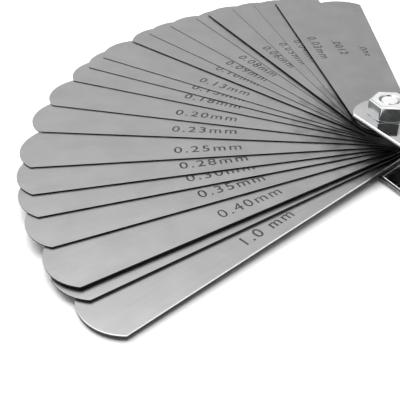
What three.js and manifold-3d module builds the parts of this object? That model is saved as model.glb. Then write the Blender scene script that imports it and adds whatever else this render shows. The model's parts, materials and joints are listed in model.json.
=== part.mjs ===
// Feeler gauge: a set of hardened steel leaves of graded thickness that turn on one screw
// at the end of a folded sheet-metal case, shown with the leaves spread in a fan.
//
// Millimetres, +Z up. The origin is the centre of the flat underside of the pivot screw's head.
// +Z runs up the pivot screw to its nut. +X runs along the case, from the pivot to the tail.
// The spine of the case is on its +Y side. The leaves come out of its open -Y side.

import * as THREE from 'three';
import { mergeVertices } from 'three/addons/utils/BufferGeometryUtils.js';
import Module from 'manifold-3d';

// ---------------------------------------------------------------- driving dimensions

// Leaves, from the lowest to the highest.
// thickness: mm. opening: degrees from folded into the case, clockwise seen from above.
// lift: extra room under a leaf that isn't pressed flat on the one below.
const LEAVES = [
  { thickness: 1.00, opening: 76.0 },
  { thickness: 0.50, opening: 83.0 },
  { thickness: 0.40, opening: 85.1, lift: 0.30 },
  { thickness: 0.35, opening: 93.7 },
  { thickness: 0.30, opening: 100.5 },
  { thickness: 0.28, opening: 105.8 },
  { thickness: 0.25, opening: 112.8 },
  { thickness: 0.23, opening: 123.3 },
  { thickness: 0.20, opening: 132.2 },
  { thickness: 0.18, opening: 141.9 },
  { thickness: 0.15, opening: 147.8 },
  { thickness: 0.13, opening: 152.7 },
  { thickness: 0.12, opening: 210.3 },
  { thickness: 0.10, opening: 162.0 },
  { thickness: 0.09, opening: 167.0 },
  { thickness: 0.08, opening: 173.0 },
  { thickness: 0.07, opening: 180.1 },
  { thickness: 0.06, opening: 183.2, lift: 0.33 },
  { thickness: 0.05, opening: 189.6 },
  { thickness: 0.04, opening: 195.1 },
  { thickness: 0.03, opening: 200.2, lift: 0.38 },
];
const LEAF_WIDTH = 12.7;
const LEAF_LENGTH = 78.5;
const LEAF_HOLE_RADIUS = 2.1;
const TIP_RADIUS = 8.5;
const TIP_CORNER_RADIUS = 0.3;
const LEAF_GAP = 0.03;
const FACE_GAP = 0.02;

const SHEET = 0.8;
const CASE_TAIL_X = 75;
const LOWER_OPEN_Y = -7.5;
const UPPER_OPEN_Y = -5.9;
const CASE_SPINE_Y = 7.75;
const UPPER_END_RADIUS = 6.7;
const LOWER_END_RADIUS = (UPPER_END_RADIUS - LOWER_OPEN_Y) / 2;
const FOLD_RADIUS = 1.4;
const SPINE_START_X = 8;
const SPINE_SLOPE_X = 9.5;
const CHEEK_OVERLAP_X = 12;
const TAIL_SPINE_RADIUS = 6;
const TAIL_OPEN_RADIUS = 3;

const SHANK_RADIUS = 2.0;
const SHANK_CHAMFER = 0.45;
const HEAD_RADIUS = 4.5;
const HEAD_HEIGHT = 0.9;
const HEAD_CHAMFER = 0.2;
const NECK_SIDE = 3.9;
const NECK_HOLE_SIDE = 4.2;
const CHEEK_HOLE_RADIUS = 2.2;
const SHANK_SHORT_OF_NUT = 0.1;

const NUT_ACROSS_FLATS = 7.0;
const NUT_HEIGHT = 3.2;
const NUT_BORE_RADIUS = 2.1;
const NUT_BORE_MOUTH = 0.1;
const NUT_CHAMFER_SLOPE = Math.tan(Math.PI / 6);
const NUT_CORNER_ANGLE = 54.5;

const HOLE_SEGMENTS = 32;
const ROOT_SEGMENTS = 20;
const TIP_SEGMENTS = 14;
const CORNER_SEGMENTS = 3;
const END_SEGMENTS = 20;
const TAIL_SEGMENTS = 8;
const FOLD_SEGMENTS = 6;
const NUT_SEGMENTS = 48;

// ---------------------------------------------------------------- stack heights

const stackHeight = LEAVES.reduce(
  (sum, { thickness, lift = 0 }) => sum + thickness + lift + LEAF_GAP,
  LEAF_GAP,
);
const LOWER_CHEEK_Z = HEAD_HEIGHT + FACE_GAP;
const CHANNEL_Z = LOWER_CHEEK_Z + SHEET;
const CHANNEL_TOP_Z = CHANNEL_Z + stackHeight;
const CASE_TOP_Z = CHANNEL_TOP_Z + SHEET;
const NUT_Z = CASE_TOP_Z + FACE_GAP;

const degrees = (angle) => THREE.MathUtils.degToRad(angle);

// ---------------------------------------------------------------- outlines

// Points along an arc from one angle to another, in degrees, both ends included.
function arcPoints(x, y, radius, from, to, segments) {
  const points = [];
  for (let i = 0; i <= segments; i += 1) {
    const angle = degrees(from + ((to - from) * i) / segments);
    points.push(new THREE.Vector2(x + radius * Math.cos(angle), y + radius * Math.sin(angle)));
  }
  return points;
}

function circlePoints(radius, segments) {
  return arcPoints(0, 0, radius, 0, 360, segments).slice(0, -1);
}

function extrudeUp(points, z, height, holes = []) {
  const shape = new THREE.Shape(points);
  shape.holes.push(...holes);
  const geometry = new THREE.ExtrudeGeometry(shape, { depth: height, bevelEnabled: false, steps: 1 });
  return geometry.translate(0, 0, z);
}

// A leaf pointing along +X: a half-round root about the pivot, parallel edges, and a shallow
// arc at the tip whose ends are blended into the edges.
function leafOutline() {
  const half = LEAF_WIDTH / 2;
  const tipCentreX = LEAF_LENGTH - half - TIP_RADIUS;
  const cornerY = half - TIP_CORNER_RADIUS;
  const cornerX = tipCentreX + Math.sqrt((TIP_RADIUS - TIP_CORNER_RADIUS) ** 2 - cornerY ** 2);
  const tipAngle = THREE.MathUtils.radToDeg(Math.atan2(cornerY, cornerX - tipCentreX));
  return [
    ...arcPoints(0, 0, half, 90, 270, ROOT_SEGMENTS),
    ...arcPoints(cornerX, -cornerY, TIP_CORNER_RADIUS, -90, -tipAngle, CORNER_SEGMENTS),
    ...arcPoints(tipCentreX, 0, TIP_RADIUS, -tipAngle, tipAngle, TIP_SEGMENTS).slice(1, -1),
    ...arcPoints(cornerX, cornerY, TIP_CORNER_RADIUS, tipAngle, 90, CORNER_SEGMENTS),
  ];
}

// The two cheeks share their spine side. The lower one is wider and covers the leaves' edges;
// the upper one stops short of them, so that a finger can push a leaf out.
const LOWER_CHEEK = { endRadius: LOWER_END_RADIUS, openY: LOWER_OPEN_Y };
const UPPER_CHEEK = { endRadius: UPPER_END_RADIUS, openY: UPPER_OPEN_Y };

// The round end of a cheek, from its spine side, round the pivot, to the edge on the open side.
function cheekEndPoints({ endRadius, openY }) {
  const centreY = UPPER_END_RADIUS - endRadius;
  const openSine = THREE.MathUtils.clamp((openY - centreY) / endRadius, -1, 1);
  const openCorner = 180 - THREE.MathUtils.radToDeg(Math.asin(openSine));
  return arcPoints(0, centreY, endRadius, 90, openCorner, END_SEGMENTS);
}

// A cheek and the spine beside it seen from above, with both tail corners rounded.
function casePlan(cheek) {
  const openCorner = new THREE.Vector2(CASE_TAIL_X - TAIL_OPEN_RADIUS, cheek.openY + TAIL_OPEN_RADIUS);
  const spineCorner = new THREE.Vector2(CASE_TAIL_X - TAIL_SPINE_RADIUS, CASE_SPINE_Y - TAIL_SPINE_RADIUS);
  return [
    ...cheekEndPoints(cheek),
    ...arcPoints(openCorner.x, openCorner.y, TAIL_OPEN_RADIUS, -90, 0, TAIL_SEGMENTS),
    ...arcPoints(spineCorner.x, spineCorner.y, TAIL_SPINE_RADIUS, 0, 90, TAIL_SEGMENTS),
    new THREE.Vector2(SPINE_SLOPE_X, CASE_SPINE_Y),
    new THREE.Vector2(SPINE_START_X, UPPER_END_RADIUS),
  ];
}

// The pivot end of a cheek, which has no spine, run a little way into the folded part.
function cheekEndPlan(cheek) {
  const foldStartY = CASE_SPINE_Y - FOLD_RADIUS;
  return [
    ...cheekEndPoints(cheek),
    new THREE.Vector2(CHEEK_OVERLAP_X, cheek.openY),
    new THREE.Vector2(CHEEK_OVERLAP_X, foldStartY),
    new THREE.Vector2(SPINE_START_X, foldStartY),
    new THREE.Vector2(SPINE_START_X, UPPER_END_RADIUS),
  ];
}

// The folded sheet's section: two cheeks joined by the spine with a bend at each edge.
function foldSection() {
  const innerRadius = FOLD_RADIUS - SHEET;
  const bendY = CASE_SPINE_Y - FOLD_RADIUS;
  const lowBendZ = LOWER_CHEEK_Z + FOLD_RADIUS;
  const highBendZ = CASE_TOP_Z - FOLD_RADIUS;
  return [
    new THREE.Vector2(LOWER_OPEN_Y, LOWER_CHEEK_Z),
    ...arcPoints(bendY, lowBendZ, FOLD_RADIUS, -90, 0, FOLD_SEGMENTS),
    ...arcPoints(bendY, highBendZ, FOLD_RADIUS, 0, 90, FOLD_SEGMENTS),
    new THREE.Vector2(UPPER_OPEN_Y, CASE_TOP_Z),
    new THREE.Vector2(UPPER_OPEN_Y, CHANNEL_TOP_Z),
    ...arcPoints(bendY, highBendZ, innerRadius, 90, 0, FOLD_SEGMENTS),
    ...arcPoints(bendY, lowBendZ, innerRadius, 0, -90, FOLD_SEGMENTS),
    new THREE.Vector2(LOWER_OPEN_Y, CHANNEL_Z),
  ];
}

// ---------------------------------------------------------------- booleans

const wasm = await Module();
wasm.setup();

function toManifold(geometry) {
  const bare = geometry.clone();
  bare.deleteAttribute('normal');
  bare.deleteAttribute('uv');
  const merged = mergeVertices(bare, 1e-4);
  return new wasm.Manifold(new wasm.Mesh({
    numProp: 3,
    vertProperties: new Float32Array(merged.attributes.position.array),
    triVerts: new Uint32Array(merged.index.array),
  }));
}

function toGeometry(solid) {
  const mesh = solid.getMesh();
  const geometry = new THREE.BufferGeometry();
  geometry.setAttribute('position', new THREE.BufferAttribute(mesh.vertProperties, 3));
  geometry.setIndex(new THREE.BufferAttribute(mesh.triVerts, 1));
  geometry.computeVertexNormals();
  return geometry;
}

// ---------------------------------------------------------------- sub-parts

function leafGeometry(thickness) {
  const hole = new THREE.Path(circlePoints(LEAF_HOLE_RADIUS, HOLE_SEGMENTS));
  return extrudeUp(leafOutline(), 0, thickness, [hole]);
}

function caseGeometry() {
  // The section is drawn in the YZ plane: ExtrudeGeometry's own X, Y and Z become Y, Z and X.
  const section = new THREE.ExtrudeGeometry(new THREE.Shape(foldSection()), {
    depth: CASE_TAIL_X - SPINE_START_X,
    bevelEnabled: false,
    steps: 1,
  });
  const toRowAxes = new THREE.Matrix4().makeBasis(
    new THREE.Vector3(0, 1, 0),
    new THREE.Vector3(0, 0, 1),
    new THREE.Vector3(1, 0, 0),
  );
  section.applyMatrix4(toRowAxes).translate(SPINE_START_X, 0, 0);

  const halfHeight = (CASE_TOP_Z + SHEET) / 2;
  const lowerPlan = extrudeUp(casePlan(LOWER_CHEEK), 0, halfHeight);
  const upperPlan = extrudeUp(casePlan(UPPER_CHEEK), halfHeight, halfHeight);
  const lowerEnd = extrudeUp(cheekEndPlan(LOWER_CHEEK), LOWER_CHEEK_Z, SHEET);
  const upperEnd = extrudeUp(cheekEndPlan(UPPER_CHEEK), CHANNEL_TOP_Z, SHEET);
  const neckHole = new THREE.BoxGeometry(NECK_HOLE_SIDE, NECK_HOLE_SIDE, 2 * SHEET)
    .translate(0, 0, LOWER_CHEEK_Z + SHEET / 2);
  const upperHole = extrudeUp(
    circlePoints(CHEEK_HOLE_RADIUS, HOLE_SEGMENTS),
    CHANNEL_TOP_Z - SHEET,
    3 * SHEET,
  );

  return toGeometry(
    toManifold(section)
      .intersect(toManifold(lowerPlan).add(toManifold(upperPlan)))
      .add(toManifold(lowerEnd))
      .add(toManifold(upperEnd))
      .subtract(toManifold(neckHole))
      .subtract(toManifold(upperHole)),
  );
}

// Low flat head, square neck that keeps the screw from turning in the lower cheek, plain shank.
function screwGeometry() {
  const topZ = NUT_Z + NUT_HEIGHT - SHANK_SHORT_OF_NUT;
  const neckTopZ = CHANNEL_Z - FACE_GAP;
  const turned = new THREE.LatheGeometry([
    new THREE.Vector2(0, 0),
    new THREE.Vector2(HEAD_RADIUS - HEAD_CHAMFER, 0),
    new THREE.Vector2(HEAD_RADIUS, HEAD_CHAMFER),
    new THREE.Vector2(HEAD_RADIUS, HEAD_HEIGHT),
    new THREE.Vector2(SHANK_RADIUS, HEAD_HEIGHT),
    new THREE.Vector2(SHANK_RADIUS, topZ - SHANK_CHAMFER),
    new THREE.Vector2(SHANK_RADIUS - SHANK_CHAMFER, topZ),
    new THREE.Vector2(0, topZ),
  ], HOLE_SEGMENTS).rotateX(Math.PI / 2);
  const neckHeight = neckTopZ - HEAD_HEIGHT / 2;
  const neck = new THREE.BoxGeometry(NECK_SIDE, NECK_SIDE, neckHeight)
    .translate(0, 0, neckTopZ - neckHeight / 2);
  return toGeometry(toManifold(turned).add(toManifold(neck)));
}

// Hexagon nut: a hexagonal prism cut by a cone at each end, with a countersunk bore.
function nutGeometry() {
  const cornerRadius = NUT_ACROSS_FLATS / Math.sqrt(3);
  const flatRadius = NUT_ACROSS_FLATS / 2;
  const chamferDrop = (cornerRadius - flatRadius) * NUT_CHAMFER_SLOPE;
  const outside = cornerRadius + 1;
  const outsideDrop = (outside - flatRadius) * NUT_CHAMFER_SLOPE;
  const hexagon = extrudeUp(circlePoints(cornerRadius, 6), 0, NUT_HEIGHT)
    .rotateZ(degrees(NUT_CORNER_ANGLE));
  const cones = new THREE.LatheGeometry([
    new THREE.Vector2(0, 0),
    new THREE.Vector2(flatRadius, 0),
    new THREE.Vector2(outside, outsideDrop),
    new THREE.Vector2(outside, NUT_HEIGHT - outsideDrop),
    new THREE.Vector2(flatRadius, NUT_HEIGHT),
    new THREE.Vector2(0, NUT_HEIGHT),
  ], NUT_SEGMENTS).rotateX(Math.PI / 2);
  const mouth = NUT_BORE_RADIUS + NUT_BORE_MOUTH;
  const bore = new THREE.LatheGeometry([
    new THREE.Vector2(0, -chamferDrop),
    new THREE.Vector2(mouth + chamferDrop, -chamferDrop),
    new THREE.Vector2(NUT_BORE_RADIUS, NUT_BORE_MOUTH),
    new THREE.Vector2(NUT_BORE_RADIUS, NUT_HEIGHT - NUT_BORE_MOUTH),
    new THREE.Vector2(mouth + chamferDrop, NUT_HEIGHT + chamferDrop),
    new THREE.Vector2(0, NUT_HEIGHT + chamferDrop),
  ], HOLE_SEGMENTS).rotateX(Math.PI / 2);
  return toGeometry(toManifold(hexagon).intersect(toManifold(cones)).subtract(toManifold(bore)));
}

// ---------------------------------------------------------------- materials

const metal = (color, roughness) => new THREE.MeshStandardMaterial({ color, roughness, metalness: 1 });
const springSteel = () => metal(0xa9a8a8, 0.34);
const chromedSheet = () => metal(0xd4d6d8, 0.1);
const zincPlate = () => metal(0xc9cbcd, 0.18);

// ---------------------------------------------------------------- assembly

const gauge = new THREE.Group();
gauge.name = 'feeler_gauge';

function addPart(name, geometry, material) {
  const mesh = new THREE.Mesh(geometry, material);
  mesh.name = name;
  gauge.add(mesh);
  return mesh;
}

addPart('case', caseGeometry(), chromedSheet());
addPart('pivot_screw', screwGeometry(), zincPlate());
addPart('hex_nut', nutGeometry(), zincPlate()).position.z = NUT_Z;

let leafZ = CHANNEL_Z + LEAF_GAP;
for (const { thickness, opening, lift = 0 } of LEAVES) {
  leafZ += lift;
  const size = thickness.toFixed(2).replace('.', '_');
  const leaf = addPart(`leaf_${size}mm`, leafGeometry(thickness), springSteel());
  leaf.position.z = leafZ;
  leaf.rotation.z = degrees(-opening);
  leafZ += thickness + LEAF_GAP;
}

export default gauge;
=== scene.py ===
"""Looks of a feeler gauge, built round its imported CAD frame.

Every leaf, the case, the screw and the nut get a finely rounded mesh in place of the plain CAD
solid. Lengths in the settings are millimetres, and finished meshes are metres. A leaf is made
lying along its own +X axis with the pivot at its origin, then turned to where the frame has it.
"""

import json
import math

import bmesh
import bpy
from mathutils import Matrix, Vector


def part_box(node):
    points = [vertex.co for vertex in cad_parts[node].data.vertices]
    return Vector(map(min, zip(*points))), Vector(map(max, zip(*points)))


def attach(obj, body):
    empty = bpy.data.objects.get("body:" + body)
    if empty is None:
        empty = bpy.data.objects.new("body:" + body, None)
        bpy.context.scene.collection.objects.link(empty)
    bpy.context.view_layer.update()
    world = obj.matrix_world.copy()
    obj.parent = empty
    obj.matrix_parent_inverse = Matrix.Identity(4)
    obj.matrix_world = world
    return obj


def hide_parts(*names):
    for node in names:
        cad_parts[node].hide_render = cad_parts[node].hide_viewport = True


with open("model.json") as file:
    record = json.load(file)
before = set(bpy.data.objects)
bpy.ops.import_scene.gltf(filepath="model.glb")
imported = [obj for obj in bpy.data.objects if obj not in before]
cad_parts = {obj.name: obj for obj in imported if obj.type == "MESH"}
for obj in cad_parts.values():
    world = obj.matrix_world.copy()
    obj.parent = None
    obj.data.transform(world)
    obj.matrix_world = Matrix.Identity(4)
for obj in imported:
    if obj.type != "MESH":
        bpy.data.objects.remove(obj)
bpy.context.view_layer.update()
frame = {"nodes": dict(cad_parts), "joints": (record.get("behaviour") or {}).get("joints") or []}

# ------------------------------------------------------------------ settings

MM = 0.001
FLAT_COSINE = math.cos(math.radians(0.3))
WELD_DISTANCE = 1e-4

# Leaves
TIP_RADIUS = 8.5
TIP_CORNER_RADIUS = 0.3
LEAF_HOLE_RADIUS = 2.1
THICK_LEAF = 0.9
BURNISH_START = 0.6
LEAF_EDGE_ROUND = 0.07
LEAF_EDGE_SHARE = 0.18
LEAF_EDGE_STEPS = 4
ROOT_STEPS = 48
TIP_STEPS = 40
CORNER_STEPS = 6
HOLE_STEPS = 48

# Thickness marks
MARK_HEIGHT = 2.05
MARK_STRETCH = 1.16
MARK_SPACING = 1.22
MARK_THICKNESS = 0.008
MARK_BOLD = 0.02
MARK_CURVE_STEPS = 5
MARK_START_X = 42.6
THICKEST_MARK_START_X = 44.1
MARK_BASELINE_Y = 4.35
INCH_HEIGHT = 1.9
INCH_START_X = 39.6
INCH_BASELINE_Y = -0.9
FINE_INCH_LIMIT = 0.085
BFONT_DIGIT_HEIGHT = 0.682
MM_PER_THOU = 0.0254

# Case
SHEET = 0.8
UPPER_OPEN_Y = -5.9
UPPER_END_RADIUS = 6.7
FOLD_RADIUS = 1.4
SPINE_SLOPE = 1.5
SPINE_START_X = 8.0
TAIL_SPINE_RADIUS = 6.0
TAIL_OPEN_RADIUS = 3.0
CASE_OUTER_ROUND = 0.42
CASE_INNER_ROUND = 0.14
CASE_RIM_STEPS = 6
CHEEK_END_STEPS = 56
TAIL_STEPS = 20
PLAN_CORNER_STEPS = 32
FOLD_STEPS = 14
NECK_HOLE_SIDE = 4.2
CHEEK_HOLE_RADIUS = 2.2

# Screw and nut
SHANK_RADIUS = 2.0
THREAD_PITCH = 0.7
THREAD_DEPTH = 0.36
THREAD_GAP = 0.1
HEAD_HEIGHT = 0.9
HEAD_EDGE_ROUND = 0.22
SCREW_END_CHAMFER = 0.5
NECK_SIDE = 3.9
NUT_MOUTH_RADIUS = 2.15
NUT_BEVEL = 0.42
NUT_CROWN_STEP = 0.05
NUT_CHAMFER_TURN = math.radians(30)
NUT_CHAMFER_NORMAL = math.radians(60)
NUT_EDGE_ROUND = 0.12
NUT_EDGE_STEPS = 5
NUT_CORNER_ROUND = 0.5
NUT_CORNER_STEPS = 6
NUT_FLAT_STEPS = 12
THREAD_COLUMNS = 96
THREAD_RINGS_PER_PITCH = 12

# Materials. Noise mostly stays within NOISE_SPAN. Shades are linear RGB.
NOISE_SPAN = (0.3, 0.7)
NOISE_SHIFT = 40.0
# Painted shade at the leaf roots: it fades out between these distances from the pivot (mm). The root
# stays this bright under covering leaves and on the top leaf.
ROOT_SHADE_REACH = (7.0, 18.0)
COVERED_ROOT_SHADE, TOP_LEAF_ROOT_SHADE = 0.2, 0.9
STEEL_SHADES = ((0.405, 0.405, 0.41), (0.50, 0.497, 0.495))
MARK_SHADES = ((0.012, 0.012, 0.013), (0.085, 0.085, 0.087))
CHROME_SHADE = (0.92, 0.925, 0.93)
ZINC_SHADE = (0.80, 0.81, 0.82)
TURNED_ZINC_SHADE = (0.92, 0.925, 0.93)
FILM_SHADE = 0.9
FLOOR_SHADES = ((0.86, 0.86, 0.86), (0.88, 0.88, 0.88))

# View. The camera lies CAMERA_TURN from +X about the pivot, and CAMERA_ELEVATION above it.
CAMERA_TARGET = (-1.068, -41.423, 1.75)
CAMERA_TURN = -27.616
CAMERA_ELEVATION = 36.449
CAMERA_ROLL = -0.717
CAMERA_DISTANCE = 114.32
CAMERA_LENS = 56.83
CAMERA_SENSOR = 36.0
CAMERA_NEAR = 5.0
FLOOR_SIDE = 8000.0
FLOOR_CLEARANCE = 0.35

# Light. Sky levels go by the sine of the angle above the horizon. The dark side starts over one
# span, both of those sines and of cosines off the camera's side. A side patch has the way it
# lies (angle from +X and angle above the horizon), a span of cosines off that way, and a level.
# A softbox has a position and the length of its sides.
SKY_LEVELS = (
    (0.0, 0.4),
    (0.35, 0.5),
    (0.6, 0.56),
    (0.76, 0.8),
    (0.87, 2.4),
    (0.94, 2.4),
    (0.985, 0.95),
)
DARK_SIDE_SPAN = (0.2, 0.5)
DARK_SIDE_LEVEL = 0.04
SIDE_CARD = ((-160.0, 57.0), (0.955, 0.985), 1.6)
SIDE_GLOW = ((-175.0, 45.0), (0.6, 1.0), 0.3)
SOFTBOX_AIM = (-10, -40, 0)
SOFTBOX_POWER = 1.1
OVERHEAD_SOFTBOX = ((-25, -25, 500), 300)
SIDE_SOFTBOX = ((-350, -130, 350), 450)


# ------------------------------------------------------------------ what the frame says

def node_box(node):
    """Lowest and highest corner of a CAD node, in millimetres."""
    low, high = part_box(node)
    return low / MM, high / MM


def leaf_places():
    """Each leaf's node name, opening angle, underside height and thickness, lowest leaf first."""
    places = []
    for joint in frame["joints"]:
        node = joint["child"]
        low, high = node_box(node)
        places.append((node, joint["range_deg"][1], low.z, high.z - low.z))
    return sorted(places, key=lambda place: place[2])


def leaf_plan():
    """Width and tip distance of a leaf, from a CAD leaf turned back along +X."""
    joint = frame["joints"][0]
    turn = Matrix.Rotation(math.radians(joint["range_deg"][1]), 3, "Z")
    points = [turn @ vertex.co / MM for vertex in frame["nodes"][joint["child"]].data.vertices]
    width = max(p.y for p in points) - min(p.y for p in points)
    return width, max(p.x for p in points)


LEAF_WIDTH, LEAF_TIP_X = leaf_plan()


# ------------------------------------------------------------------ mesh helpers

def arc(x, y, radius, start, end, steps):
    """Points along an arc, both ends included. Angles in degrees."""
    angles = [math.radians(start + (end - start) * i / steps) for i in range(steps + 1)]
    return [(x + radius * math.cos(a), y + radius * math.sin(a)) for a in angles]


def flat_areas(bm):
    """For each face, the area of the flat region of faces that it belongs to."""
    areas = {}
    for start in bm.faces:
        if start in areas:
            continue
        region, waiting = {start}, [start]
        while waiting:
            face = waiting.pop()
            for edge in face.edges:
                for other in edge.link_faces:
                    if other not in region and other.normal.dot(face.normal) > FLAT_COSINE:
                        region.add(other)
                        waiting.append(other)
        area = sum(face.calc_area() for face in region)
        areas.update((face, area) for face in region)
    return areas


def vertex_normals(bm):
    """Normals that follow the largest flat region at each vertex, so flat faces shade flat."""
    areas = flat_areas(bm)
    normals = []
    for vertex in bm.verts:
        total = Vector()
        for corner in vertex.link_loops:
            total += corner.face.normal * corner.calc_angle() * areas[corner.face]
        normals.append(total.normalized())
    return normals


def finish_mesh(name, bm):
    """A mesh in metres from a bmesh in millimetres, smooth but for its flat faces."""
    bmesh.ops.recalc_face_normals(bm, faces=bm.faces)
    for face in bm.faces:
        face.smooth = True
    bm.normal_update()
    normals = vertex_normals(bm)
    mesh = bpy.data.meshes.new(name)
    bm.to_mesh(mesh)
    bm.free()
    mesh.transform(Matrix.Scale(MM, 4))
    mesh.normals_split_custom_set_from_vertices(normals)
    return mesh


def add_piece(name, mesh, body, materials, replaces=(), place=None):
    """Puts a mesh in the scene as a piece that rides on a CAD body."""
    for material in materials:
        mesh.materials.append(material)
    piece = bpy.data.objects.new(name, mesh)
    bpy.context.scene.collection.objects.link(piece)
    if place is not None:
        piece.matrix_world = place
    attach(piece, body)
    if replaces:
        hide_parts(*replaces)


def ring(bm, points):
    return [bm.verts.new(point) for point in points]


def join_rings(bm, first, second, material=0):
    """A closed band of quads between two rings with the same number of points."""
    count = len(first)
    for i in range(count):
        j = (i + 1) % count
        face = bm.faces.new((first[i], first[j], second[j], second[i]))
        face.material_index = material


def edges_of(bm, loop):
    return [bm.edges.get((a, b)) for a, b in zip(loop, loop[1:] + loop[:1])]


def fill_ends(bm, outside, inside):
    """Flat faces between the lowest and between the highest of the outside and inside rings."""
    for level, way in ((0, -1), (-1, 1)):
        borders = edges_of(bm, outside[level]) + edges_of(bm, inside[level])
        bmesh.ops.triangle_fill(
            bm, use_beauty=True, use_dissolve=False, edges=borders, normal=(0, 0, way)
        )


def square(side):
    """Corners of a square round the pivot."""
    half = side / 2
    return [(-half, -half), (half, -half), (half, half), (-half, half)]


def prism(outline, low, high):
    """A solid bmesh: an outline in X and Y between two heights."""
    bm = bmesh.new()
    bottom = ring(bm, [(x, y, low) for x, y in outline])
    top = ring(bm, [(x, y, high) for x, y in outline])
    join_rings(bm, bottom, top)
    bm.faces.new(bottom)
    bm.faces.new(top)
    bmesh.ops.recalc_face_normals(bm, faces=bm.faces)
    return bm


def combine(base, *steps):
    """Boolean steps, each an operation and a solid, on a base solid. All are bmeshes in mm."""
    made = []

    def as_object(bm):
        mesh = bpy.data.meshes.new("boolean_part")
        bm.to_mesh(mesh)
        bm.free()
        made.append(bpy.data.objects.new("boolean_part", mesh))
        bpy.context.scene.collection.objects.link(made[-1])
        return made[-1]

    target = as_object(base)
    for operation, solid in steps:
        modifier = target.modifiers.new("boolean", "BOOLEAN")
        modifier.operation = operation
        modifier.solver = "EXACT"
        modifier.object = as_object(solid)
    depsgraph = bpy.context.evaluated_depsgraph_get()
    evaluated = target.evaluated_get(depsgraph)
    result = bmesh.new()
    result.from_mesh(evaluated.to_mesh())
    evaluated.to_mesh_clear()
    for leftover in made:
        mesh = leftover.data
        bpy.data.objects.remove(leftover)
        bpy.data.meshes.remove(mesh)
    return result


# ------------------------------------------------------------------ materials

def set_map_range(node, start, end, low, high):
    """Sets a Map Range node to turn start..end into low..high."""
    for socket, number in (("From Min", start), ("From Max", end), ("To Min", low), ("To Max", high)):
        node.inputs[socket].default_value = number


class Nodes:
    """A material's node tree, with short calls for the nodes used here."""

    def __init__(self, name):
        self.material = bpy.data.materials.new(name)
        self.material.use_nodes = True
        self.tree = self.material.node_tree
        self.shader = self.tree.nodes["Principled BSDF"]

    def add(self, kind, **settings):
        node = self.tree.nodes.new(kind)
        for key, value in settings.items():
            setattr(node, key, value)
        return node

    def link(self, output, node, socket):
        self.tree.links.new(output, node.inputs[socket])

    def noise(self, scale, detail=4.0, roughness=0.55, stretch=(1, 1, 1), turn=0.0):
        """Noise in the piece's own coordinates, in features per metre along each axis."""
        place = self.add("ShaderNodeTexCoord")
        mapping = self.add("ShaderNodeMapping")
        mapping.inputs["Rotation"].default_value = (0, 0, math.radians(turn))
        mapping.inputs["Scale"].default_value = stretch
        noise = self.add("ShaderNodeTexNoise", noise_dimensions="4D")
        noise.inputs["Scale"].default_value = scale
        noise.inputs["Detail"].default_value = detail
        noise.inputs["Roughness"].default_value = roughness
        per_piece = self.add("ShaderNodeObjectInfo")
        self.link(self.math("MULTIPLY", per_piece.outputs["Random"], NOISE_SHIFT), noise, "W")
        self.link(place.outputs["Object"], mapping, "Vector")
        self.link(mapping.outputs[0], noise, "Vector")
        return noise.outputs["Fac"]

    def remap(self, value, low, high, start=0.0, end=1.0):
        node = self.add("ShaderNodeMapRange")
        set_map_range(node, start, end, low, high)
        self.link(value, node, "Value")
        return node.outputs["Result"]

    def math(self, operation, first, second):
        node = self.add("ShaderNodeMath", operation=operation)
        for index, value in enumerate((first, second)):
            if isinstance(value, (int, float)):
                node.inputs[index].default_value = value
            else:
                self.link(value, node, index)
        return node.outputs[0]

    def mix_colours(self, factor, first, second):
        node = self.add("ShaderNodeMix", data_type="RGBA")
        factor_index, first_index, second_index, result_index = 0, 6, 7, 2
        for index, value in ((factor_index, factor), (first_index, first), (second_index, second)):
            if isinstance(value, tuple):
                node.inputs[index].default_value = (*value, 1)
            else:
                self.link(value, node, index)
        return node.outputs[result_index]

    def bump(self, height, distance, strength=1.0):
        node = self.add("ShaderNodeBump")
        node.inputs["Strength"].default_value = strength
        node.inputs["Distance"].default_value = distance
        self.link(height, node, "Height")
        self.link(node.outputs["Normal"], self.shader, "Normal")

    def colour(self, value):
        self.link(value, self.shader, "Base Color")

    def roughness(self, value):
        self.link(value, self.shader, "Roughness")

    def set(self, **values):
        """Sets shader sockets, named with underscores for their spaces."""
        for socket, value in values.items():
            self.shader.inputs[socket.replace("_", " ")].default_value = value


def ground_steel(name, root_shade):
    """Satin spring steel, ground along the leaf, with cloudy tone and a painted shade that deepens
    towards the pivot.

    root_shade is how bright the root stays under the painted shade.
    """
    nodes = Nodes(name)
    grain = nodes.noise(1000, detail=3, stretch=(0.05, 2.2, 1))
    fine_grain = nodes.noise(1000, detail=2, stretch=(0.12, 7.0, 1))
    clouds = nodes.noise(160, detail=5, roughness=0.6)
    smears = nodes.noise(260, detail=4, roughness=0.65, stretch=(0.45, 1, 1), turn=12)
    cloud_shade = nodes.remap(clouds, 0, 0.5, *NOISE_SPAN)
    shade = nodes.math("ADD", cloud_shade, nodes.remap(grain, 0, 0.2, *NOISE_SPAN))
    shade = nodes.math("ADD", shade, nodes.remap(smears, 0, 0.22, 0.35, 0.65))
    colour = nodes.mix_colours(shade, *STEEL_SHADES)
    place = nodes.add("ShaderNodeTexCoord")
    reach = nodes.add("ShaderNodeVectorMath", operation="LENGTH")
    nodes.link(place.outputs["Object"], reach, 0)
    # Painted shade: the colour fades to black towards the pivot, over a ragged edge from the cloud
    # noise.
    ragged = nodes.math("ADD", reach.outputs["Value"], nodes.remap(clouds, -0.004, 0.004, *NOISE_SPAN))
    unshaded = nodes.remap(ragged, root_shade, 1.0, *(distance * MM for distance in ROOT_SHADE_REACH))
    nodes.colour(nodes.mix_colours(unshaded, (0, 0, 0), colour))
    grain_rough = nodes.remap(grain, 0.30, 0.335, *NOISE_SPAN)
    nodes.roughness(nodes.math("ADD", grain_rough, nodes.remap(clouds, -0.02, 0.03, *NOISE_SPAN)))
    nodes.bump(nodes.math("ADD", grain, fine_grain), 2e-6, 0.2)
    nodes.set(Metallic=1.0)
    return nodes.material


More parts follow.
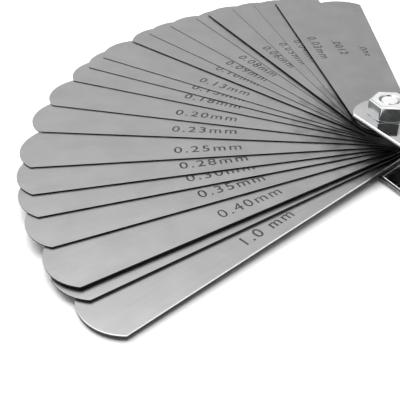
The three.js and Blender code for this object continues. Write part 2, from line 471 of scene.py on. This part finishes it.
def cut_edge(name, dark, light, roughness):
    """A slit or sheared side of sheet, with drag marks through its thickness."""
    nodes = Nodes(name)
    draw = nodes.noise(1000, detail=3, stretch=(0.4, 0.4, 6))
    nodes.colour(nodes.mix_colours(draw, (dark, dark, dark), (light, light, light)))
    nodes.roughness(nodes.remap(draw, roughness, roughness + 0.15))
    nodes.bump(draw, 3e-6, 0.3)
    nodes.set(Metallic=1.0)
    return nodes.material


def etched_mark():
    """Dark etched numerals, worn thin in places."""
    nodes = Nodes("etched_mark")
    worn = nodes.noise(900, detail=3, roughness=0.6)
    wear = nodes.remap(worn, 0, 1, 0.45, 0.8)
    nodes.colour(nodes.mix_colours(wear, *MARK_SHADES))
    nodes.roughness(nodes.remap(worn, 0.45, 0.6))
    nodes.bump(worn, 2e-6, 0.2)
    return nodes.material


def bright_plate(name, colour, roughness, bump, metallic=1.0):
    """Plated metal with fine rubbing marks and a faint film."""
    nodes = Nodes(name)
    film = nodes.noise(190, detail=5, roughness=0.6)
    rubs = nodes.noise(1000, detail=3, stretch=(0.06, 1.6, 0.6), turn=7)
    darker = tuple(channel * FILM_SHADE for channel in colour)
    nodes.colour(nodes.mix_colours(nodes.remap(film, 0, 1, *NOISE_SPAN), darker, colour))
    film_rough = nodes.remap(film, roughness, roughness * 1.5, *NOISE_SPAN)
    nodes.roughness(nodes.math("ADD", film_rough, nodes.remap(rubs, -0.012, 0.02, *NOISE_SPAN)))
    nodes.bump(nodes.math("ADD", film, rubs), bump, 0.25)
    nodes.set(Metallic=metallic)
    return nodes.material


# Painted shade at the root: deep on leaves under others, faint on the top leaf.
ROOT_SHADED_STEEL = ground_steel("spring_steel_deep_painted_root_shade", COVERED_ROOT_SHADE)
FAINT_ROOT_SHADE_STEEL = ground_steel("spring_steel_faint_painted_root_shade", TOP_LEAF_ROOT_SHADE)
# Near-black slit sides paint the shade in the gaps along each leaf's edge.
SHADED_SLIT_EDGE = cut_edge("slit_edge_painted_gap_shade", dark=0.03, light=0.075, roughness=0.4)
BURNISHED_EDGE = cut_edge("burnished_slit_edge", dark=0.75, light=0.9, roughness=0.2)
# The case's cut sides are painted dark as shade along the cheek edges, and left rough.
SHADED_CASE_EDGE = cut_edge("case_edge_painted_shade", dark=0.05, light=0.12, roughness=0.35)
MARK = etched_mark()
CHROME = bright_plate("chromed_sheet", CHROME_SHADE, roughness=0.07, bump=2e-6)
ZINC = bright_plate("bright_zinc", ZINC_SHADE, roughness=0.12, bump=3e-6)
TURNED_ZINC = bright_plate("turned_zinc", TURNED_ZINC_SHADE, roughness=0.3, bump=4e-6, metallic=0.7)


# ------------------------------------------------------------------ leaves

def leaf_outline(inset):
    """A leaf's outline drawn in by inset: round root, parallel edges, shallow tip arc."""
    half = LEAF_WIDTH / 2
    tip_x = LEAF_TIP_X - TIP_RADIUS
    corner_y = half - TIP_CORNER_RADIUS
    corner_x = tip_x + math.sqrt((TIP_RADIUS - TIP_CORNER_RADIUS) ** 2 - corner_y**2)
    turn = math.degrees(math.atan2(corner_y, corner_x - tip_x))
    corner = TIP_CORNER_RADIUS - inset
    return (
        arc(0, 0, half - inset, 90, 270, ROOT_STEPS)
        + arc(corner_x, -corner_y, corner, -90, -turn, CORNER_STEPS)
        + arc(tip_x, 0, TIP_RADIUS - inset, -turn, turn, TIP_STEPS)[1:-1]
        + arc(corner_x, corner_y, corner, turn, 90, CORNER_STEPS)
    )


def edge_profile(thickness, edge_round):
    """Inset and height of each ring up a plate's rounded edge, with one where its finish changes."""
    turns = [math.pi / 2 * i / LEAF_EDGE_STEPS for i in range(LEAF_EDGE_STEPS + 1)]
    low = [(edge_round * (1 - math.sin(t)), edge_round * (1 - math.cos(t))) for t in turns]
    return low + [(0.0, thickness * BURNISH_START)] + [(i, thickness - h) for i, h in reversed(low)]


def side_material(level):
    """Material of each band up a leaf's side: the lower band painted dark as shade, then burnished,
    then the rounded ground edge.
    """
    if level <= LEAF_EDGE_STEPS:
        return 1
    return 2 if level == LEAF_EDGE_STEPS + 1 else 0


def leaf_mesh(name, thickness):
    """A ground leaf with rounded edges, its pivot hole and a slit side painted dark as shade."""
    edge_round = min(LEAF_EDGE_ROUND, LEAF_EDGE_SHARE * thickness)
    bm = bmesh.new()
    outside, inside = [], []
    for inset, height in edge_profile(thickness, edge_round):
        outside.append(ring(bm, [(x, y, height) for x, y in leaf_outline(inset)]))
        hole = arc(0, 0, LEAF_HOLE_RADIUS + inset, 0, 360, HOLE_STEPS)[:-1]
        inside.append(ring(bm, [(x, y, height) for x, y in hole]))
    for rings in (outside, inside):
        for level, (lower, upper) in enumerate(zip(rings, rings[1:])):
            join_rings(bm, lower, upper, material=side_material(level))
    fill_ends(bm, outside, inside)
    return finish_mesh(name, bm)


def mark_mesh(name, text, height):
    """Raised numerals, reading along +X from the origin, with their underside at height 0."""
    curve = bpy.data.curves.new(name, "FONT")
    curve.body = text
    curve.size = height / BFONT_DIGIT_HEIGHT
    curve.space_character = MARK_SPACING
    curve.resolution_u = MARK_CURVE_STEPS
    curve.offset = 0 if "4" in text else MARK_BOLD  # bold type closes the small counter of the 4
    curve.extrude = MARK_THICKNESS / 2
    writing = bpy.data.objects.new(name, curve)
    bpy.context.scene.collection.objects.link(writing)
    evaluated = writing.evaluated_get(bpy.context.evaluated_depsgraph_get())
    mesh = bpy.data.meshes.new_from_object(evaluated)
    bpy.data.objects.remove(writing)
    bpy.data.curves.remove(curve)
    mesh.transform(Matrix.Translation((0, 0, MARK_THICKNESS / 2)))
    mesh.transform(Matrix.Diagonal((MM * MARK_STRETCH, MM, MM, 1)))
    return mesh


def add_mark(name, text, height, leaf, body, start):
    """Numerals on a leaf's upper face that read from its tip towards the pivot."""
    spot = Matrix.Translation(Vector(start) * MM) @ Matrix.Rotation(math.pi, 4, "Z")
    add_piece(name, mark_mesh(name, text, height), body, (MARK,), place=leaf @ spot)


def metric_text(thickness):
    return "1.0 mm" if thickness > THICK_LEAF else f"{thickness:.2f}mm"


def inch_text(thickness):
    """Inches to three places, or to four for the thinnest leaves."""
    thou = thickness / MM_PER_THOU
    return f".{round(thou):03d}" if thickness > FINE_INCH_LIMIT else f".{round(thou * 10):04d}"


def add_leaf(node, opening, z, thickness, covered):
    """A leaf and its marks. A covered leaf has other leaves over its root, and its root gets a deep
    painted shade.
    """
    place = Matrix.Rotation(-math.radians(opening), 4, "Z") @ Matrix.Translation((0, 0, z * MM))
    thick = thickness > THICK_LEAF
    # Slit sides are painted dark as shade, except the burnished upper band of the thickest leaf.
    materials = (ROOT_SHADED_STEEL if covered else FAINT_ROOT_SHADE_STEEL, SHADED_SLIT_EDGE, BURNISHED_EDGE if thick else SHADED_SLIT_EDGE)
    blade = leaf_mesh(f"{node}_blade", thickness)
    add_piece(f"{node}_blade", blade, node, materials, replaces=(node,), place=place)
    size = round(thickness, 2)
    metric_start = (THICKEST_MARK_START_X if thick else MARK_START_X, MARK_BASELINE_Y, thickness)
    add_mark(f"{node}_metric_mark", metric_text(size), MARK_HEIGHT, place, node, metric_start)
    inch_start = (INCH_START_X, INCH_BASELINE_Y, thickness)
    add_mark(f"{node}_inch_mark", inch_text(size), INCH_HEIGHT, place, node, inch_start)


# ------------------------------------------------------------------ case

def cheek_outline(tail_x, spine_y, open_y, inset):
    """A cheek from its round end to the fold line, drawn in by inset but for the fold."""
    wide = open_y < -UPPER_END_RADIUS
    radius = (UPPER_END_RADIUS - open_y) / 2 if wide else UPPER_END_RADIUS
    centre_y = UPPER_END_RADIUS - radius
    sine = max(-1.0, (open_y + inset - centre_y) / (radius - inset))
    bend_y = spine_y - FOLD_RADIUS
    open_corner_x, open_corner_y = tail_x - TAIL_OPEN_RADIUS, open_y + TAIL_OPEN_RADIUS
    spine_corner_x, spine_corner_y = tail_x - TAIL_SPINE_RADIUS, spine_y - TAIL_SPINE_RADIUS
    corner_end = math.degrees(math.asin((bend_y - spine_corner_y) / (TAIL_SPINE_RADIUS - inset)))
    return (
        arc(0, centre_y, radius - inset, 90, 180 - math.degrees(math.asin(sine)), CHEEK_END_STEPS)
        + arc(open_corner_x, open_corner_y, TAIL_OPEN_RADIUS - inset, -90, 0, TAIL_STEPS)
        + arc(spine_corner_x, spine_corner_y, TAIL_SPINE_RADIUS - inset, 0, corner_end, TAIL_STEPS)
        + [(SPINE_START_X, bend_y), (SPINE_START_X, UPPER_END_RADIUS - inset)]
    )


def rim_profile(low_round, high_round):
    """Inset and height of each ring up the sheet's rim."""
    turns = [math.pi / 2 * i / CASE_RIM_STEPS for i in range(CASE_RIM_STEPS + 1)]
    low = [(low_round * (1 - math.sin(t)), low_round * (1 - math.cos(t))) for t in turns]
    high = [(high_round * (1 - math.sin(t)), SHEET - high_round * (1 - math.cos(t))) for t in turns]
    return low + high[::-1]


def cheek_plate(outline_at, hole, z, low_round, high_round, shaded_rim_levels):
    """A flat cheek as a solid, with a rounded rim. The rim levels in the last argument are painted
    dark as shade and left rough.
    """
    bm = bmesh.new()
    outside, inside = [], []
    for inset, height in rim_profile(low_round, high_round):
        outside.append(ring(bm, [(x, y, z + height) for x, y in outline_at(inset)]))
    for height in (0, SHEET):
        inside.append(ring(bm, [(x, y, z + height) for x, y in hole]))
    for rings in (outside, inside):
        for level, (lower, upper) in enumerate(zip(rings, rings[1:])):
            join_rings(bm, lower, upper, material=1 if rings is outside and level in shaded_rim_levels else 0)
    fill_ends(bm, outside, inside)
    bmesh.ops.recalc_face_normals(bm, faces=bm.faces)
    return bm


def fold_mesh(tail_x, spine_y, low, high):
    """The spine and its two bends, cut to the case's plan."""
    bend_y = spine_y - FOLD_RADIUS
    inner = FOLD_RADIUS - SHEET
    section = (
        arc(bend_y, low + FOLD_RADIUS, FOLD_RADIUS, -90, 0, FOLD_STEPS)
        + arc(bend_y, high - FOLD_RADIUS, FOLD_RADIUS, 0, 90, FOLD_STEPS)
        + arc(bend_y, high - FOLD_RADIUS, inner, 90, 0, FOLD_STEPS)
        + arc(bend_y, low + FOLD_RADIUS, inner, 0, -90, FOLD_STEPS)
    )
    fold = prism(section, SPINE_START_X, tail_x)
    to_row_axes = Matrix(((0, 0, 1, 0), (1, 0, 0, 0), (0, 1, 0, 0), (0, 0, 0, 1)))
    bmesh.ops.transform(fold, matrix=to_row_axes, verts=fold.verts)
    bmesh.ops.recalc_face_normals(fold, faces=fold.faces)
    corner_x, corner_y = tail_x - TAIL_SPINE_RADIUS, spine_y - TAIL_SPINE_RADIUS
    plan = (
        [(SPINE_START_X - SHEET, corner_y), (tail_x, corner_y)]
        + arc(corner_x, corner_y, TAIL_SPINE_RADIUS, 0, 90, PLAN_CORNER_STEPS)[1:]
        + [(SPINE_START_X + SPINE_SLOPE, spine_y), (SPINE_START_X, UPPER_END_RADIUS)]
        + [(SPINE_START_X - SHEET, UPPER_END_RADIUS)]
    )
    return combine(fold, ("INTERSECT", prism(plan, low - SHEET, high + SHEET)))


def case_mesh():
    """Folded sheet case: two cheeks with round pivot ends, and the spine that joins them."""
    low, high = node_box("case")
    tail_x, spine_y, lower_open_y = high.x, high.y, low.y
    circle = arc(0, 0, CHEEK_HOLE_RADIUS, 0, 360, HOLE_STEPS)[:-1]

    def lower_outline(inset):
        return cheek_outline(tail_x, spine_y, lower_open_y, inset)

    def upper_outline(inset):
        return cheek_outline(tail_x, spine_y, UPPER_OPEN_Y, inset)

    lower = cheek_plate(
        lower_outline,
        square(NECK_HOLE_SIDE),
        low.z,
        CASE_INNER_ROUND,
        CASE_INNER_ROUND,
        shaded_rim_levels=(CASE_RIM_STEPS,),
    )
    upper = cheek_plate(
        upper_outline,
        circle,
        high.z - SHEET,
        CASE_INNER_ROUND,
        CASE_OUTER_ROUND,
        shaded_rim_levels=range(CASE_RIM_STEPS + 1),
    )
    fold = fold_mesh(tail_x, spine_y, low.z, high.z)
    bm = combine(fold, ("UNION", lower), ("UNION", upper))
    bmesh.ops.remove_doubles(bm, verts=bm.verts, dist=WELD_DISTANCE)
    return finish_mesh("case_shell", bm)


# ------------------------------------------------------------------ screw and nut

def thread_radius(angle, z, crest, depth):
    """Radius of a right-hand thread, a rounded V, at an angle and height."""
    turn = (z / THREAD_PITCH - angle / (2 * math.pi)) % 1.0
    groove = 0.5 - 0.5 * math.cos(2 * math.pi * turn)
    return crest - depth * groove


def lathe_ring(bm, radius_at, z):
    """A ring round the pivot at height z, with its radius from the angle."""
    angles = [2 * math.pi * i / THREAD_COLUMNS for i in range(THREAD_COLUMNS)]
    return ring(bm, [(radius_at(a) * math.cos(a), radius_at(a) * math.sin(a), z) for a in angles])


def screw_mesh():
    """Low head, square neck, shank, and a thread that runs out at a chamfered end."""
    low, high = node_box("pivot_screw")
    nut_low, _ = node_box("hex_nut")
    head_radius = high.x
    neck_top = node_box("case")[0].z + SHEET
    thread_start = nut_low.z - SHEET
    bm = bmesh.new()
    rings = []

    def plain(radius, z):
        rings.append(lathe_ring(bm, lambda angle: radius, z))

    for inset, height in edge_profile(HEAD_HEIGHT, HEAD_EDGE_ROUND):
        plain(head_radius - inset, low.z + height)
    plain(SHANK_RADIUS, low.z + HEAD_HEIGHT)
    plain(SHANK_RADIUS, thread_start - THREAD_PITCH)
    count = round((high.z - thread_start) / THREAD_PITCH * THREAD_RINGS_PER_PITCH)
    for i in range(count + 1):
        z = thread_start + (high.z - thread_start) * i / count
        run_in = min(1.0, (z - thread_start) / THREAD_PITCH)
        limit = SHANK_RADIUS - max(0.0, z - (high.z - SCREW_END_CHAMFER))

        def threaded(angle):
            return min(limit, thread_radius(angle, z, SHANK_RADIUS, THREAD_DEPTH * run_in))

        rings.append(lathe_ring(bm, threaded, z))
    for lower, upper in zip(rings, rings[1:]):
        join_rings(bm, lower, upper)
    bm.faces.new(rings[0])
    bm.faces.new(rings[-1]).material_index = 1
    bmesh.ops.recalc_face_normals(bm, faces=bm.faces)
    neck = prism(square(NECK_SIDE), low.z + HEAD_HEIGHT / 2, neck_top)
    return finish_mesh("screw", combine(bm, ("UNION", neck)))


def rounded_hexagon(flat_radius, corner_angle, inset):
    """Points round a hexagon with rounded corners, drawn in by inset, with points on each flat."""
    corner_centre = (flat_radius - NUT_CORNER_ROUND) / math.cos(math.pi / 6)
    flat_end = (flat_radius - NUT_CORNER_ROUND) * math.tan(math.pi / 6)
    points = []
    for side in range(6):
        turn = Matrix.Rotation(corner_angle + side * math.pi / 3, 2)
        corner = arc(corner_centre, 0, NUT_CORNER_ROUND - inset, -30, 30, NUT_CORNER_STEPS)
        along = [flat_end * (1 - 2 * i / NUT_FLAT_STEPS) for i in range(1, NUT_FLAT_STEPS)]
        to_flat = Matrix.Rotation(math.pi / 6, 2)
        flat = [to_flat @ Vector((flat_radius - inset, -y)) for y in along]
        points += [turn @ Vector(point) for point in corner] + [turn @ point for point in flat]
    return points


def nut_edge_rings(bm, outline_at, chamfer_depth, end_z, way):
    """Rings down a nut's rounded outer edge, from its chamfer to its flats.

    way is 1 at the top end and -1 at the bottom end.
    """
    setback = NUT_EDGE_ROUND * math.tan(NUT_CHAMFER_NORMAL / 2)
    rings = []
    for i in range(NUT_EDGE_STEPS + 1):
        turn = NUT_CHAMFER_NORMAL * (1 - i / NUT_EDGE_STEPS)
        drop = setback - NUT_EDGE_ROUND * math.sin(turn)
        outline = outline_at(NUT_EDGE_ROUND * (1 - math.cos(turn)))
        points = [(*point, end_z - way * (chamfer_depth(point) + drop)) for point in outline]
        rings.append(ring(bm, points))
    return rings


def nut_top_rings(bm, outline_at, end_z):
    """Rings from the mouth out over the top face and down a bevel that follows the flats."""
    mouth = [point.normalized() * NUT_MOUTH_RADIUS for point in outline_at(0)]
    rings = [ring(bm, [(*point, end_z) for point in mouth])]
    for inset in (NUT_BEVEL + NUT_CROWN_STEP, NUT_BEVEL):
        rings.append(ring(bm, [(*point, end_z) for point in outline_at(inset)]))
    depth = NUT_BEVEL * math.tan(NUT_CHAMFER_TURN)
    return rings + nut_edge_rings(bm, outline_at, lambda point: depth, end_z, 1)


def nut_bottom_rings(bm, outline_at, flat_radius, end_z):
    """Rings from the mouth out over the seating face and its chamfer cone."""
    mouth = [point.normalized() * NUT_MOUTH_RADIUS for point in outline_at(0)]
    rings = [ring(bm, [(*point, end_z) for point in mouth])]
    for radius in (flat_radius - 2 * NUT_CROWN_STEP, flat_radius - NUT_CROWN_STEP):
        rings.append(ring(bm, [(*(point.normalized() * radius), end_z) for point in mouth]))
    slope = math.tan(NUT_CHAMFER_TURN)

    def depth(point):
        return max(0.0, point.length - flat_radius + NUT_CROWN_STEP) * slope

    return rings + nut_edge_rings(bm, outline_at, depth, end_z, -1)


def nut_mesh():
    """Hexagon nut: bevelled top, coned seat, rounded edges and a threaded bore."""
    low, high = node_box("hex_nut")
    points = [vertex.co / MM for vertex in frame["nodes"]["hex_nut"].data.vertices]
    corner = max(points, key=lambda point: point.xy.length)
    flat_radius = corner.xy.length * math.cos(math.pi / 6)
    corner_angle = math.atan2(corner.y, corner.x)

    def outline_at(inset):
        return rounded_hexagon(flat_radius, corner_angle, inset)

    bm = bmesh.new()
    lower_side = nut_bottom_rings(bm, outline_at, flat_radius, low.z)
    upper_side = nut_top_rings(bm, outline_at, high.z)
    bore = []
    count = round((high.z - low.z) / THREAD_PITCH * THREAD_RINGS_PER_PITCH)
    for i in range(1, count):
        z = high.z + (low.z - high.z) * i / count
        mouth = NUT_MOUTH_RADIUS - min(high.z - z, z - low.z)
        made = []
        for point in outline_at(0):
            angle = math.atan2(point.y, point.x)
            radius = max(mouth, thread_radius(angle, z, SHANK_RADIUS + THREAD_GAP, THREAD_DEPTH))
            made.append((*(point.normalized() * radius), z))
        bore.append(ring(bm, made))
    rings = lower_side + upper_side[::-1] + bore
    mouth_level = len(lower_side) + len(upper_side) - 1
    top_face = (mouth_level - 2, mouth_level - 1)
    for level, (lower, upper) in enumerate(zip(rings, rings[1:] + rings[:1])):
        join_rings(bm, lower, upper, material=1 if level in top_face else 0)
    return finish_mesh("nut", bm)


# ------------------------------------------------------------------ studio

def direction(turn, rise):
    """The unit vector at an angle from +X about the pivot and an angle above the horizon."""
    turn, rise = math.radians(turn), math.radians(rise)
    return (math.cos(turn) * math.cos(rise), math.sin(turn) * math.cos(rise), math.sin(rise))


def add_camera():
    back = Vector(direction(CAMERA_TURN, CAMERA_ELEVATION))
    data = bpy.data.cameras.new("camera")
    data.lens = CAMERA_LENS
    data.sensor_width = CAMERA_SENSOR
    data.clip_start = CAMERA_NEAR * MM
    data.clip_end = 2 * FLOOR_SIDE * MM
    camera = bpy.data.objects.new("camera", data)
    camera.location = (Vector(CAMERA_TARGET) + back * CAMERA_DISTANCE) * MM
    roll = Matrix.Rotation(math.radians(CAMERA_ROLL), 3, "Z")
    camera.rotation_euler = (back.to_track_quat("Z", "Y").to_matrix() @ roll).to_euler()
    bpy.context.scene.collection.objects.link(camera)
    bpy.context.scene.camera = camera


def add_floor():
    """A pale floor that touches the screw head's rim and all but touches the lowest leaf's tip."""
    bm = bmesh.new()
    bmesh.ops.create_grid(bm, x_segments=1, y_segments=1, size=FLOOR_SIDE / 2)
    mesh = finish_mesh("floor", bm)
    nodes = Nodes("pale_floor")
    paper = nodes.noise(40, detail=3)
    nodes.colour(nodes.mix_colours(paper, *FLOOR_SHADES))
    nodes.set(Roughness=0.9, Specular_IOR_Level=0.1)
    mesh.materials.append(nodes.material)
    floor = bpy.data.objects.new("floor", mesh)
    _, opening, lowest_z, _ = leaf_places()[0]
    head_rim = node_box("pivot_screw")[1].x
    rise = math.atan2(lowest_z - FLOOR_CLEARANCE, LEAF_TIP_X - head_rim)
    lean = Matrix.Rotation(-math.radians(opening), 4, "Z") @ Matrix.Translation((head_rim * MM, 0, 0))
    floor.matrix_world = lean @ Matrix.Rotation(-rise, 4, "Y")
    bpy.context.scene.collection.objects.link(floor)


def add_softbox(name, position, side):
    """A square soft light on the object that reflections leave out."""
    data = bpy.data.lights.new(name, "AREA")
    data.shape = "RECTANGLE"
    data.size = data.size_y = side * MM
    data.energy = SOFTBOX_POWER
    light = bpy.data.objects.new(name, data)
    light.visible_glossy = False
    light.location = Vector(position) * MM
    way = Vector(SOFTBOX_AIM) - Vector(position)
    light.rotation_euler = way.to_track_quat("-Z", "Y").to_euler()
    bpy.context.scene.collection.objects.link(light)


def add_world():
    """Pale walls, a bright band high up, a glowing side card, and a dark side behind the camera."""
    world = bpy.data.worlds.new("studio")
    world.use_nodes = True
    bpy.context.scene.world = world
    tree = world.node_tree
    background = tree.nodes["Background"]
    way = tree.nodes.new("ShaderNodeTexCoord")
    split = tree.nodes.new("ShaderNodeSeparateXYZ")
    tree.links.new(way.outputs["Generated"], split.inputs[0])
    walls = tree.nodes.new("ShaderNodeValToRGB")
    while len(walls.color_ramp.elements) < len(SKY_LEVELS):
        walls.color_ramp.elements.new(0.5)
    for element, (position, level) in zip(walls.color_ramp.elements, SKY_LEVELS):
        element.position = position
        element.color = (level, level, level, 1)
    tree.links.new(split.outputs["Z"], walls.inputs[0])

    def smooth_step(value, span, low, high):
        """A level that goes smoothly from low to high over a span of the value."""
        step = tree.nodes.new("ShaderNodeMapRange")
        step.interpolation_type = "SMOOTHSTEP"
        set_map_range(step, *span, low, high)
        tree.links.new(value, step.inputs["Value"])
        return step.outputs["Result"]

    def patch(centre, span, level):
        """A level round a direction that fades out over a span of cosines off it."""
        facing = tree.nodes.new("ShaderNodeVectorMath")
        facing.operation = "DOT_PRODUCT"
        facing.inputs[1].default_value = direction(*centre)
        tree.links.new(way.outputs["Generated"], facing.inputs[0])
        return smooth_step(facing.outputs["Value"], span, 0.0, level)

    def combined(operation, first, second):
        sum_or_product = tree.nodes.new("ShaderNodeMath")
        sum_or_product.operation = operation
        tree.links.new(first, sum_or_product.inputs[0])
        tree.links.new(second, sum_or_product.inputs[1])
        return sum_or_product.outputs[0]

    in_front = patch((CAMERA_TURN, 0), DARK_SIDE_SPAN, 1.0)
    raised = smooth_step(split.outputs["Z"], DARK_SIDE_SPAN, 0.0, 1.0)
    darkness = combined("MULTIPLY", in_front, raised)
    light_left = smooth_step(darkness, (0.0, 1.0), 1.0, DARK_SIDE_LEVEL)
    shaded_walls = combined("MULTIPLY", walls.outputs["Color"], light_left)
    side_light = combined("ADD", patch(*SIDE_CARD), patch(*SIDE_GLOW))
    background.inputs["Color"].default_value = (1, 1, 1, 1)
    tree.links.new(combined("ADD", shaded_walls, side_light), background.inputs["Strength"])


add_camera()
add_floor()
add_world()
add_softbox("overhead_softbox", *OVERHEAD_SOFTBOX)
add_softbox("side_softbox", *SIDE_SOFTBOX)

leaf_list = leaf_places()
for leaf_place in leaf_list:
    add_leaf(*leaf_place, covered=leaf_place is not leaf_list[-1])
for piece_name, make_mesh, slot, materials, node in (
    ("case_shell", case_mesh, "chromed_sheet", (CHROME, SHADED_CASE_EDGE), "case"),
    ("threaded_pivot_screw", screw_mesh, "zinc_plate", (ZINC, TURNED_ZINC), "pivot_screw"),
    ("threaded_hex_nut", nut_mesh, "zinc_plate", (ZINC, TURNED_ZINC), "hex_nut"),
):
    add_piece(piece_name, make_mesh(), "frame", materials, replaces=(node,))

bpy.context.scene.view_settings.view_transform = "Standard"
